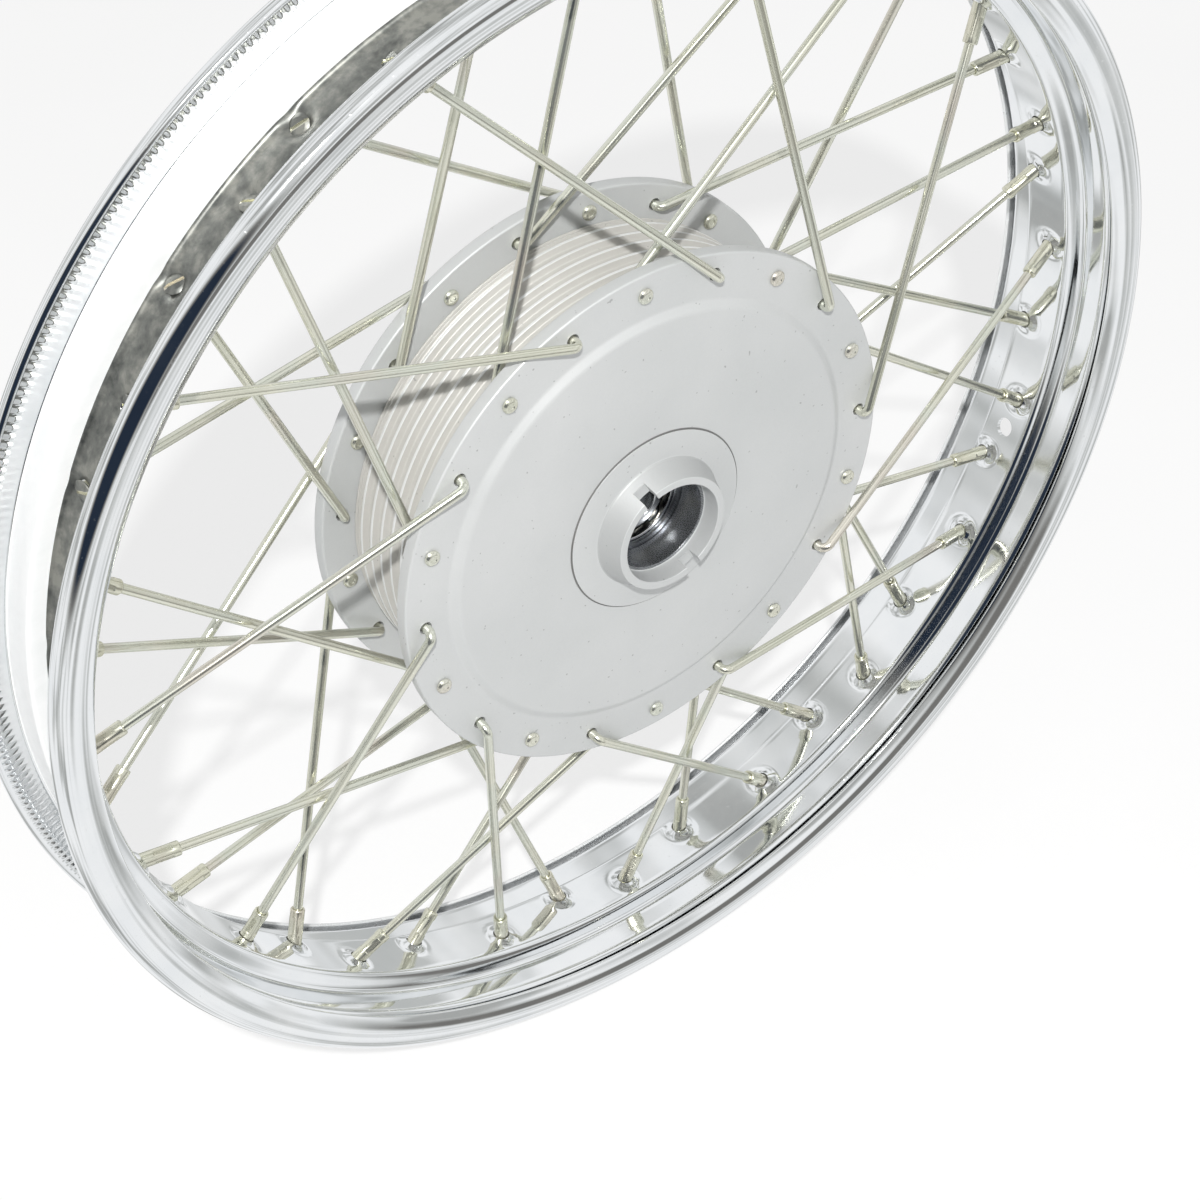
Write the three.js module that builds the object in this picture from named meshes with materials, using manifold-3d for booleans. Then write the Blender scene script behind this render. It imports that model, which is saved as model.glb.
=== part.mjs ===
// A laced motorcycle wheel: steel drop-centre rim, full-width light-alloy brake hub,
// forty bent spokes with their nipples, cast-iron brake ring and two ball bearings.
//
// Millimetres. The wheel spins about +Y and +Z is up. The closed face of the hub looks
// along -Y ("near"), the open brake side along +Y ("far"). Axial positions are counted from
// the middle plane between the two hub flanges; the last group moves that plane so that
// the origin lies on the spin axis, half way between the two ends of the wheel.

import * as THREE from 'three';
import { mergeVertices } from 'three/addons/utils/BufferGeometryUtils.js';
import Module from 'manifold-3d';

const wasm = await Module();
wasm.setup();

// ---------------------------------------------------------------- driving dimensions

const rim = {
  edgeRadius: 255.3,       // highest point of the rolled edges
  seatRadius: 241.3,       // bead seats, a nominal 19 inch rim
  innerWidth: 54.6,        // between the side walls, a nominal 2.15 inch rim
  sheet: 2,
  curl: 4,                 // outside radius of each rolled edge
  skirtDrop: 12.4,         // how far the rolled edge comes back towards the hub
  skirtBulge: 3.7,         // the skirt's widest place, beyond the curl's centre
  skirtBulgeDrop: 5,       // and how far down the skirt that is
  skirtReturn: 0.6,        // its free edge, beyond the curl's centre
  skirtEdgeInset: 1.6,     // the skirt's hub-side face lies this far in at its free edge
  skirtBulgeInset: 1.8,    // and this far in at its widest place
  seatBevel: 2,            // corner of bead seat and side wall, on the tyre's side
  underBevel: 2.5,         // the same corner on the hub's side
  wellRadius: 233.5,       // tyre side of the drop centre
  wellCentre: -0.8,
  wellHalfTop: 12.8,       // half width of the drop centre at the bead seats
  wellHalfBottom: 10.5,
  facets: 40,
};

const hub = {
  flangeFace: 31.25,       // outer faces of both flanges, each side of the middle plane
  flangeThickness: 6,
  flangeRadius: 112,
  chamfer: 1.3,
  barrelRadius: 98.6,
  ribDepth: 3,
  ribs: 6,
  discFace: 33.7,          // raised centre of the closed side
  discRadius: 88,
  ridgeRun: 5.5,           // radial length of the soft step up to the raised centre
  collarFace: 34.7,
  collarRadius: 39.5,
  collarStep: 0.6,         // axial drop from the collar to the raised centre
  collarRun: 0.4,          // radial length of that drop
  bossBaseRadius: 28.3,
  bossBase: 35.4,
  mouthRadius: 24.8,
  mouthFace: 45.7,
  counterBoreRadius: 21.6,
  counterBoreEnd: 37.1,
  webInside: 26.2,
  drumRadius: 94.3,        // alloy wall behind the brake ring
  drumFloor: -12.3,
  cavityRadius: 86,
  cavityBevel: 4,          // corners at the bottom of the cavity
  tubeRadius: 27,
  tubeEnd: 29,
  slotWidth: 5.9,
  slotDepth: 6,
  slotAngle: 117,
  facets: 40,
};

const brakeRing = { thickness: 5.1, fit: 0.3 };

const ballBearing = {
  boreRadius: 8.5,
  outerRadius: 20,
  width: 12,
  ballRadius: 3.4,
  balls: 7,
  landInner: 11.9,         // outside of the inner ring beside its groove
  landOuter: 16.6,         // inside of the outer ring beside its groove
  grooveClearance: 0.25,
  grooveHalfMouth: 3,      // half width of a ball groove at the land, and at its floor
  grooveHalfFloor: 1.7,
  cageHalfThickness: 1.2,
  cageHalfWidth: 1.6,
  facets: 24,
};

const seatClearance = 0.12;      // all round a bearing in its pocket
const seatSlack = 0.2;           // behind it
const nearBearingFace = -22.6;   // outer face of the near bearing
const farBearingFace = 25.2;     // outer face of the far bearing

const retainer = {
  thickness: 1.5,
  groove: 1.9,             // axial width of its groove
  grooveStandOff: 0.1,     // from the bearing's face to the groove
  play: 0.3,               // between ring and bearing, and round the groove
  reach: 2.2,              // how far it stands in over the bearing
  bite: 0.9,               // depth of the groove
  gapAngle: 80,
  gapDegrees: 36,
};

const spacer = { endGap: 0.1, step: 0.4 };   // clear of the races, and under their lands

const lacing = {
  spokes: 40,
  holeCircle: 103.3,
  firstAngle: 2.23,        // an outer spoke's hole on the near flange
  sweep: 36.8,             // degrees from a spoke's hub hole to its rim hole
  rimTurn: 1,              // the rim's holes sit this far round from the hub's
  spokeRadius: 1.9,
  headRadius: 3.2,
  headThickness: 1.7,
  outerCorner: 5.2,        // bend corner of an outer spoke beyond its flange face
  innerCorner: 3.1,        // and of an inner spoke inside its flange
  bendRadius: 3,
  flangeHoleRadius: 2.6,
  nippleRadius: 3,
  nippleMouthRadius: 2.5,
  nippleLength: 16.5,      // from the rim's inside to the nipple's mouth
  nippleTaper: 1.5,        // the mouth narrows over this length
  nippleHeadRadius: 4.4,
  nippleHeadLift: 2.6,     // clearance under the head for the slant of the spoke
  nippleHeadThickness: 2.2,
  rimHoleRadius: 3.7,
  rimHoleLine: 0.4,        // axial place of the rim's row of holes
  rimStagger: 3.7,         // the holes alternate this far each side of that line
  gap: 0.3,
  facets: 6,
};

const valveHole = { radius: 4.2, place: 37.5, facets: 8 };   // place counted in spoke holes

// ---------------------------------------------------------------- materials

const metal = (color, roughness, metalness = 1) =>
  new THREE.MeshStandardMaterial({ color, roughness, metalness });

const chrome = metal(0xd9dcde, 0.08);
const castAlloy = metal(0xc9cbc8, 0.55, 0.9);
const castIron = metal(0x6c6a66, 0.6);
const zincPlate = metal(0xcfc9a8, 0.3);
const bearingSteel = metal(0xb9bcbf, 0.2);
const cageSteel = metal(0x9c978a, 0.35);
const springSteel = metal(0x777a7d, 0.3);

// ---------------------------------------------------------------- geometry helpers

const radians = THREE.MathUtils.degToRad;
const point = (radius, axial) => new THREE.Vector2(radius, axial);

/** Points on an arc in the (radius, axial) plane, angles in degrees from the radius axis. */
function arc(radius, axial, size, from, to, steps) {
  return Array.from({ length: steps + 1 }, (_, i) => {
    const angle = radians(from + ((to - from) * i) / steps);
    return point(radius + size * Math.cos(angle), axial + size * Math.sin(angle));
  });
}

/** Keeps only positions, joined where they meet, as a closed solid needs. */
function weld(geometry) {
  const bare = geometry.index ? geometry.toNonIndexed() : geometry.clone();
  bare.deleteAttribute('normal');
  bare.deleteAttribute('uv');
  return mergeVertices(bare, 1e-4);
}

function signedVolume(geometry) {
  const corner = [new THREE.Vector3(), new THREE.Vector3(), new THREE.Vector3()];
  const { index, attributes } = geometry;
  let total = 0;
  for (let i = 0; i < index.count; i += 3) {
    corner.forEach((c, k) => c.fromBufferAttribute(attributes.position, index.getX(i + k)));
    total += corner[0].dot(corner[1].cross(corner[2]));
  }
  return total;
}

/** Turns a solid's faces outwards and drops the flat slivers that lie on the axis. */
function outward(geometry) {
  const source = geometry.index.array;
  const flip = signedVolume(geometry) < 0;
  const kept = [];
  for (let i = 0; i < source.length; i += 3) {
    const [a, b, c] = [source[i], source[i + 1], source[i + 2]];
    if (a !== b && b !== c && c !== a) kept.push(...(flip ? [a, c, b] : [a, b, c]));
  }
  geometry.setIndex(kept);
  return geometry;
}

/** A solid of revolution about Y. The profile closes on itself, or ends on the axis. */
function turned(profile, facets, startDegrees = 0) {
  const geometry = new THREE.LatheGeometry(profile, facets);
  geometry.rotateY(radians(startDegrees));
  return outward(weld(geometry));
}

const ringProfile = (inner, outer, low, high) =>
  [point(inner, low), point(outer, low), point(outer, high), point(inner, high), point(inner, low)];

function toManifold(geometry) {
  return new wasm.Manifold(new wasm.Mesh({
    numProp: 3,
    vertProperties: new Float32Array(geometry.attributes.position.array),
    triVerts: new Uint32Array(geometry.index.array),
  }));
}

function fromManifold(solid) {
  const { vertProperties, triVerts } = solid.getMesh();
  const geometry = new THREE.BufferGeometry();
  geometry.setAttribute('position', new THREE.BufferAttribute(vertProperties, 3));
  geometry.setIndex(new THREE.BufferAttribute(triVerts, 1));
  return geometry;
}

/** Cuts every tool from the body. */
function cut(body, tools) {
  return fromManifold(tools.reduce(
    (solid, tool) => solid.subtract(toManifold(tool)), toManifold(body)));
}

/** A many-sided rod from one point along a direction, for drilling. */
function drill(start, direction, length, radius, sides) {
  const rod = new THREE.CylinderGeometry(radius, radius, length, sides);
  rod.translate(0, length / 2, 0);
  const turn = new THREE.Quaternion().setFromUnitVectors(new THREE.Vector3(0, 1, 0), direction);
  rod.applyQuaternion(turn);
  rod.translate(start.x, start.y, start.z);
  return outward(weld(rod));
}

/** The point at a radius, an angle in degrees from +X towards +Z, and an axial place. */
const polar = (radius, degrees, axial) => new THREE.Vector3(
  radius * Math.cos(radians(degrees)), axial, radius * Math.sin(radians(degrees)));

// ---------------------------------------------------------------- lacing plan

/**
 * One entry per spoke. side is -1 on the near flange and +1 on the far one. An outer spoke
 * runs along the outside of its flange and leans one way; an inner spoke runs inside and
 * leans the other way, so each pair crosses.
 */
function planSpokes() {
  const step = 360 / lacing.spokes;
  return Array.from({ length: lacing.spokes }, (_, place) => {
    const side = place % 2 === 0 ? -1 : 1;
    const outer = side < 0 ? place % 4 === 0 : place % 4 === 1;
    const holeAngle = lacing.firstAngle + place * step;
    const rimAngle = holeAngle + lacing.rimTurn + (outer ? lacing.sweep : -lacing.sweep);
    const beyond = outer ? hub.flangeFace + lacing.outerCorner
      : hub.flangeFace - hub.flangeThickness - lacing.innerCorner;
    const corner = polar(lacing.holeCircle, holeAngle, side * beyond);
    const seat = polar(rim.wellRadius - rim.sheet, rimAngle,
      lacing.rimHoleLine + side * lacing.rimStagger);
    const along = seat.clone().sub(corner).normalize();
    const shank = new THREE.Vector3(0, outer ? side : -side, 0);
    return { side, outer, holeAngle, rimAngle, corner, seat, along, shank };
  });
}

const spokePlan = planSpokes();

// ---------------------------------------------------------------- rim

/** The pressed sheet of the rim: rolled edge, side wall, bead seat and drop centre. */
function rimProfile() {
  const { edgeRadius, seatRadius, sheet, curl } = rim;
  const wall = rim.innerWidth / 2;
  const centre = wall + curl;
  const curlRadius = edgeRadius - curl;
  const edge = curlRadius - rim.skirtDrop;
  const bulge = curlRadius - rim.skirtBulgeDrop;
  const tyreSide = (s) => [
    point(seatRadius, s * (wall - rim.seatBevel)),
    point(seatRadius + rim.seatBevel, s * wall),
    ...arc(curlRadius, s * centre, curl, -s * 90, s * 90, 4),
    point(bulge, s * (centre + rim.skirtBulge)),
    point(edge, s * (centre + rim.skirtReturn)),
  ];
  const hubSide = (s) => [
    point(edge + sheet / 2, s * (centre + rim.skirtReturn - rim.skirtEdgeInset)),
    point(bulge, s * (centre + rim.skirtBulge - rim.skirtBulgeInset)),
    ...arc(curlRadius, s * centre, curl - sheet, s * 60, -s * 90, 2),
    point(seatRadius - sheet + rim.underBevel, s * (wall + sheet)),
    point(seatRadius - sheet, s * (wall + sheet - rim.underBevel)),
  ];
  // the hub-side line of the sloping wall spreads by this much per drop, for a full sheet
  const wallSlope = (rim.wellHalfTop - rim.wellHalfBottom) / (seatRadius - rim.wellRadius);
  const wallSpread = Math.hypot(1, wallSlope) - wallSlope;
  const well = (s, drop) => [
    point(seatRadius - drop, rim.wellCentre + s * (rim.wellHalfTop + wallSpread * drop)),
    point(rim.wellRadius - drop, rim.wellCentre + s * (rim.wellHalfBottom + wallSpread * drop)),
  ];
  const outside = [
    ...tyreSide(-1).reverse(), ...well(-1, 0), ...well(1, 0).reverse(), ...tyreSide(1)];
  const inside = [
    ...hubSide(1), ...well(1, sheet), ...well(-1, sheet).reverse(), ...hubSide(-1).reverse()];
  return [...outside, ...inside, outside[0].clone()];
}

function buildRim() {
  const through = 9;
  const holes = spokePlan.map(({ seat, along }) =>
    drill(seat.clone().addScaledVector(along, -through), along, 3 * through,
      lacing.rimHoleRadius, lacing.facets));
  const valveAngle = lacing.firstAngle + lacing.rimTurn + valveHole.place * (360 / lacing.spokes);
  const valveStart = polar(rim.wellRadius - 2 * through, valveAngle, rim.wellCentre);
  holes.push(drill(valveStart, polar(1, valveAngle, 0), 4 * through,
    valveHole.radius, valveHole.facets));
  return cut(turned(rimProfile(), rim.facets), holes);
}

// ---------------------------------------------------------------- hub

const bearingSeat = ballBearing.outerRadius + seatClearance;
const shoulderHeight = 3.2;
const shoulderRadius = ballBearing.outerRadius - shoulderHeight;

/** Cooling ribs round the barrel, as a zigzag between the flanges. */
function ribProfile() {
  const low = -hub.flangeFace + hub.flangeThickness;
  const pitch = (-2 * low) / hub.ribs;
  const points = [point(hub.barrelRadius - hub.ribDepth, low)];
  for (let i = 0; i < hub.ribs; i += 1) {
    points.push(point(hub.barrelRadius, low + (i + 0.5) * pitch));
    points.push(point(hub.barrelRadius - hub.ribDepth, low + (i + 1) * pitch));
  }
  return points;
}

/** One bearing pocket seen from its mouth: a groove for the retaining ring, then the seat. */
function pocket(face, inwards) {
  const groove = bearingSeat + retainer.bite;
  const outer = face - inwards * (retainer.groove + retainer.grooveStandOff);
  const shoulder = face + inwards * (ballBearing.width + seatSlack);
  return [
    point(bearingSeat, outer),
    point(groove, outer),
    point(groove, outer + inwards * retainer.groove),
    point(bearingSeat, outer + inwards * retainer.groove),
    point(bearingSeat, shoulder),
    point(shoulderRadius, shoulder),
  ];
}

function hubProfile() {
  const face = hub.flangeFace;
  const back = face - hub.flangeThickness;
  const { chamfer, flangeRadius } = hub;
  const closedSide = [
    point(hub.counterBoreRadius, -hub.mouthFace),
    point(hub.mouthRadius, -hub.mouthFace),
    point(hub.bossBaseRadius, -hub.bossBase),
    point(hub.collarRadius, -hub.collarFace),
    point(hub.collarRadius + hub.collarRun, -hub.collarFace + hub.collarStep),
    point(hub.discRadius, -hub.discFace),
    point(hub.discRadius + hub.ridgeRun, -face),
    point(flangeRadius - chamfer, -face),
    point(flangeRadius, -face + chamfer),
    point(flangeRadius, -back),
  ];
  const openSide = [
    point(flangeRadius, back),
    point(flangeRadius, face - chamfer),
    point(flangeRadius - chamfer, face),
    point(hub.drumRadius, face),
    point(hub.drumRadius, hub.drumFloor),
    point(hub.cavityRadius, hub.drumFloor),
    point(hub.cavityRadius, -hub.webInside + hub.cavityBevel),
    point(hub.cavityRadius - hub.cavityBevel, -hub.webInside),
    point(hub.tubeRadius + hub.cavityBevel, -hub.webInside),
    point(hub.tubeRadius, -hub.webInside + hub.cavityBevel),
    point(hub.tubeRadius, hub.tubeEnd),
    point(bearingSeat, hub.tubeEnd),
  ];
  const bores = [
    ...pocket(farBearingFace, -1),
    ...pocket(nearBearingFace, 1).reverse(),
    point(bearingSeat, -hub.counterBoreEnd),
    point(hub.counterBoreRadius, -hub.counterBoreEnd),
  ];
  return [...closedSide, ...ribProfile(), ...openSide, ...bores, closedSide[0].clone()];
}

/** The two drive slots across the mouth of the near boss. */
function mouthSlot() {
  const length = 4 * hub.mouthRadius;
  const bar = new THREE.BoxGeometry(length, 2 * hub.slotDepth, hub.slotWidth);
  bar.rotateY(-radians(hub.slotAngle));
  bar.translate(0, -hub.mouthFace, 0);
  return outward(weld(bar));
}

function buildHub() {
  const depth = 3 * hub.flangeThickness;
  const holes = spokePlan.map(({ side, holeAngle }) => {
    const start = polar(lacing.holeCircle, holeAngle, side * (hub.flangeFace + hub.flangeThickness));
    return drill(start, new THREE.Vector3(0, -side, 0), depth, lacing.flangeHoleRadius, lacing.facets);
  });
  return cut(turned(hubProfile(), hub.facets), [...holes, mouthSlot()]);
}

function buildBrakeRing() {
  const outside = hub.drumRadius - brakeRing.fit;
  return turned(
    ringProfile(outside - brakeRing.thickness, outside, hub.drumFloor + brakeRing.fit, hub.flangeFace),
    hub.facets);
}

// ---------------------------------------------------------------- spokes

/**
 * A spoke with its nipple screwed on. It is turned straight, head to nipple, and then bent:
 * rings of points beyond the bend's start follow the bend and then the straight run.
 */
function buildSpoke({ side, outer, corner, seat, along, shank }) {
  const headFace = outer ? side * (hub.flangeFace - hub.flangeThickness) : side * hub.flangeFace;
  const headBase = headFace - shank.y * lacing.gap;
  const headEnd = headBase - shank.y * lacing.headThickness;
  const turn = shank.angleTo(along);
  const trim = lacing.bendRadius * Math.tan(turn / 2);
  const bendStart = Math.abs(corner.y - headEnd) - trim;
  const bendLength = lacing.bendRadius * turn;
  const bendEnd = bendStart + bendLength;
  const seatAt = bendEnd + corner.distanceTo(seat) - trim;
  const mouthAt = seatAt - lacing.nippleLength;
  const headAt = seatAt + rim.sheet + lacing.nippleHeadLift;
  const thin = lacing.spokeRadius;
  const straight = turned([
    point(0, 0),
    point(lacing.headRadius, 0),
    point(lacing.headRadius, lacing.headThickness),
    point(thin, lacing.headThickness),
    ...[0, 0.5, 1].map((part) => point(thin, bendStart + part * bendLength)),
    point(thin, mouthAt),
    point(lacing.nippleMouthRadius, mouthAt),
    point(lacing.nippleRadius, mouthAt + lacing.nippleTaper),
    point(lacing.nippleRadius, headAt),
    point(lacing.nippleHeadRadius, headAt),
    point(lacing.nippleHeadRadius, headAt + lacing.nippleHeadThickness),
    point(0, headAt + lacing.nippleHeadThickness),
  ], lacing.facets);

  const across = new THREE.Vector3().crossVectors(shank, along).normalize();
  const bentStart = corner.clone().addScaledVector(shank, -trim);
  const position = straight.attributes.position;
  const spot = new THREE.Vector3();
  for (let i = 0; i < position.count; i += 1) {
    spot.fromBufferAttribute(position, i);
    const bent = THREE.MathUtils.clamp((spot.y - bendStart) / bendLength, 0, 1);
    const forward = shank.clone().applyAxisAngle(across, bent * turn);
    const outwards = new THREE.Vector3().crossVectors(forward, across);
    const entry = new THREE.Vector3().crossVectors(shank, across);
    const place = bentStart.clone()
      .addScaledVector(entry, -lacing.bendRadius)
      .addScaledVector(outwards, lacing.bendRadius)
      .addScaledVector(forward, spot.y - bendStart - bent * bendLength)
      .addScaledVector(outwards, spot.x)
      .addScaledVector(across, spot.z);
    position.setXYZ(i, place.x, place.y, place.z);
  }
  return outward(straight);
}

// ---------------------------------------------------------------- bearings and retainers

const pitchRadius = (ballBearing.landInner + ballBearing.landOuter) / 2;

/** One race: a ring with a shallow groove for the balls on one side. */
function buildRace(face, outerRace) {
  const { width, ballRadius, grooveClearance } = ballBearing;
  const land = outerRace ? ballBearing.landOuter : ballBearing.landInner;
  const sign = outerRace ? 1 : -1;
  const groove = pitchRadius + sign * (ballRadius + grooveClearance);
  const plain = outerRace ? ballBearing.outerRadius : ballBearing.boreRadius;
  const middle = face + width / 2;
  const profile = [
    point(plain, face),
    point(land, face),
    point(land, middle - ballBearing.grooveHalfMouth),
    point(groove, middle - ballBearing.grooveHalfFloor),
    point(groove, middle + ballBearing.grooveHalfFloor),
    point(land, middle + ballBearing.grooveHalfMouth),
    point(land, face + width),
    point(plain, face + width),
    point(plain, face),
  ];
  return turned(profile, ballBearing.facets);
}

/** The ball cage with its balls, as one turning set. */
function buildBallCage(face) {
  const { width, ballRadius, balls, cageHalfThickness, cageHalfWidth } = ballBearing;
  const middle = face + width / 2;
  let set = toManifold(turned(
    ringProfile(pitchRadius - cageHalfThickness, pitchRadius + cageHalfThickness,
      middle - cageHalfWidth, middle + cageHalfWidth), balls * 3));
  for (let i = 0; i < balls; i += 1) {
    const ball = new THREE.SphereGeometry(ballRadius, 6, 4);
    const spot = polar(pitchRadius, (i * 360) / balls, middle);
    ball.translate(spot.x, spot.y, spot.z);
    set = set.add(toManifold(outward(weld(ball))));
  }
  return fromManifold(set);
}

/** A sprung retaining ring with an open gap, flat across the spin axis. */
function buildRetainer(face, inwards) {
  const outerRadius = bearingSeat + retainer.bite - retainer.play;
  const innerRadius = bearingSeat - retainer.reach;
  const half = radians(retainer.gapDegrees / 2);
  const start = radians(retainer.gapAngle);
  const shape = new THREE.Shape();
  shape.absarc(0, 0, outerRadius, start + half, start + 2 * Math.PI - half, false);
  shape.absarc(0, 0, innerRadius, start + 2 * Math.PI - half, start + half, true);
  const ring = new THREE.ExtrudeGeometry(shape, {
    depth: retainer.thickness, bevelEnabled: false, curveSegments: 12,
  });
  ring.rotateX(Math.PI / 2);
  const high = inwards > 0 ? face - retainer.play : face + retainer.play + retainer.thickness;
  ring.translate(0, high, 0);
  return outward(weld(ring));
}

// ---------------------------------------------------------------- assembly

const wheel = new THREE.Group();

function addPiece(name, geometry, material) {
  const mesh = new THREE.Mesh(geometry, material);
  mesh.name = name;
  wheel.add(mesh);
}

addPiece('rim', buildRim(), chrome);
addPiece('hub_shell', buildHub(), castAlloy);
addPiece('brake_ring', buildBrakeRing(), castIron);

const counts = {};
for (const spoke of spokePlan) {
  const family = `${spoke.side < 0 ? 'near' : 'far'}_${spoke.outer ? 'outer' : 'inner'}_spoke`;
  counts[family] = (counts[family] ?? 0) + 1;
  addPiece(`${family}_${counts[family]}`, buildSpoke(spoke), zincPlate);
}

const bearingPlaces = {
  near: { face: nearBearingFace, inwards: 1 },
  far: { face: farBearingFace, inwards: -1 },
};
for (const [name, { face, inwards }] of Object.entries(bearingPlaces)) {
  const low = Math.min(face, face + inwards * ballBearing.width);
  addPiece(`${name}_bearing_outer_race`, buildRace(low, true), bearingSteel);
  addPiece(`${name}_bearing_inner_race`, buildRace(low, false), bearingSteel);
  addPiece(`${name}_ball_cage`, buildBallCage(low), cageSteel);
  addPiece(`${name}_retaining_ring`, buildRetainer(face, inwards), springSteel);
}

addPiece('spacer_tube', turned(ringProfile(
  ballBearing.boreRadius, ballBearing.landInner - spacer.step,
  nearBearingFace + ballBearing.width + spacer.endGap,
  farBearingFace - ballBearing.width - spacer.endGap), ballBearing.facets), bearingSteel);

// The near boss's mouth and the elbows of the far outer spokes are the two ends of the wheel.
const ends = new THREE.Box3().setFromObject(wheel);
wheel.position.y = -(ends.min.y + ends.max.y) / 2;

const part = new THREE.Group();
part.add(wheel);

export default part;
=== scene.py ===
"""Looks of a laced motorcycle wheel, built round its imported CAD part.

Sizes are in millimetres, axial places are counted from the plane midway between the hub's
flanges, and MID is that plane's place along Y. Near is -Y, the closed side of the hub.
"""

import math

import bmesh
import bpy
from mathutils import Matrix, Quaternion, Vector


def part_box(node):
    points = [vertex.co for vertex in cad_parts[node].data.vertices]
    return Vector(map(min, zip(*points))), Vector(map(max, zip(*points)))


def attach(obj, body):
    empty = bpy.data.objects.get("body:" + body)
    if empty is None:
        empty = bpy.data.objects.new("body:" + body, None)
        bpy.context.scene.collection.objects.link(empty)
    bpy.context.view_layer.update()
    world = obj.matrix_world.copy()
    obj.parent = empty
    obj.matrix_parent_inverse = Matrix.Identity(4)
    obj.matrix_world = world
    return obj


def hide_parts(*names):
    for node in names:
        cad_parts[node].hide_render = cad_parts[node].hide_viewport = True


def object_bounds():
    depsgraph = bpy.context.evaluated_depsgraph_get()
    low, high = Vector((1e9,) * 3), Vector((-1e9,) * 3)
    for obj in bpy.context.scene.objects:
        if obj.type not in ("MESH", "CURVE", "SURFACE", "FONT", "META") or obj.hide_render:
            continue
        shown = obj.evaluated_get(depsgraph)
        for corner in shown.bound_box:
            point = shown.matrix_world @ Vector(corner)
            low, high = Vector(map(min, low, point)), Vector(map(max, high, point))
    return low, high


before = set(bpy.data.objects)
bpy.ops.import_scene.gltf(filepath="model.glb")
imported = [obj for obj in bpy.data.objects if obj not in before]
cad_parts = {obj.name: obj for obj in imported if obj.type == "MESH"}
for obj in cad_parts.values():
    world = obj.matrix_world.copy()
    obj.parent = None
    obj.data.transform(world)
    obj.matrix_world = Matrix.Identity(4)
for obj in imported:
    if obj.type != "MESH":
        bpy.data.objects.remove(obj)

CAD_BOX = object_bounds()
MM = 0.001

# ---------------------------------------------------------------- sizes

MOUTH_FACE = 45.7
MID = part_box("hub_shell")[0].y / MM + MOUTH_FACE

EDGE_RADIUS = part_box("rim")[1].x / MM
SEAT_RADIUS = 241.3
WALL = 27.3
SHEET = 2.0
CURL = 4.0
SKIRT_EDGE = 238.9
WELL_RADIUS = 233.5
WELL_CENTRE = -0.8
WELL_TOP = 12.8
WELL_BOTTOM = 10.5
LIP_INNER = 2.2
LIP_OUTER = 5.7
TEETH = 470
TOOTH_SHAPE = (0.0, 0.0, 1.0, 1.0)   # height at each of a tooth's four stations
TOOTH_HEIGHT = 0.8
TOOTH_FOOT = SEAT_RADIUS + 2.0
TOOTH_TOP = EDGE_RADIUS - 2.3

FLANGE_FACE = 31.25
FLANGE_THICKNESS = 6.0
FLANGE_RADIUS = 112.0
BARREL_RADIUS = 98.6
RIB_DEPTH = 2.6
RIBS = 7
COUNTER_BORE = 21.6
COUNTER_BORE_END = -37.1
MOUTH_RADIUS = 24.8
SLOT_WIDTH = 5.9
SLOT_DEPTH = 6.0
SLOT_ANGLE = 117          # degrees
SHOULDER_RADIUS = 16.8
TUBE_RADIUS = 27.0
TUBE_END = 29.0
WEB_INSIDE = -26.2
CAVITY_RADIUS = 86.0
DRUM_RADIUS = 94.3
DRUM_FLOOR = -12.3
BRAKE_BORE = 88.9

SPOKES = 40
HOLE_CIRCLE = 103.3
HOLE_RADIUS = 2.6
FIRST_ANGLE = 2.23
SWEEP = 36.8
RIM_TURN = 1.0
RIM_HOLE_LINE = 0.4
RIM_STAGGER = 3.7
SPOKE_RADIUS = 1.9
BEND_RADIUS = 3.0
OUTER_CORNER = 5.2
INNER_CORNER = 3.1
HEAD_THICKNESS = 1.7
HEAD_RADIUS = 3.2
GAP = 0.3                 # left between parts that would touch
NIPPLE_LENGTH = 16.5
NIPPLE_RADIUS = 3.0
NIPPLE_HEAD = 4.4
NIPPLE_HOLE = 3.5
SEAT_HEIGHT = 2.0
SEAT_REACH = 8.0
VALVE_PLACE = 37.5
VALVE_RADIUS = 4.2

BEARING_SEAT = 20.12
BEARING_WIDTH = 12.0
BEARING_BORE = 8.5
SPACER_RADIUS = 11.5
NEAR_BEARING = -22.6      # the near bearing's outer face, and the far bearing's
FAR_BEARING = 25.2
SEAT_SLACK = 0.2
GROOVE_WIDTH = 1.9        # the retaining ring's groove
GROOVE_STAND_OFF = 0.1
GROOVE_DEPTH = 0.9
RING_THICKNESS = 1.5
PITCH_RADIUS = 14.25
BALL_RADIUS = 3.4
BALLS = 7
DRAWN_SCALE = 0.008  # drawing marks on a rod are this much finer across it than along it

# ---------------------------------------------------------------- shape helpers


def polar(radius, degrees, axial):
    """A place in the part's frame, in metres."""
    angle = math.radians(degrees)
    return Vector((radius * math.cos(angle), MID + axial, radius * math.sin(angle))) * MM


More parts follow.
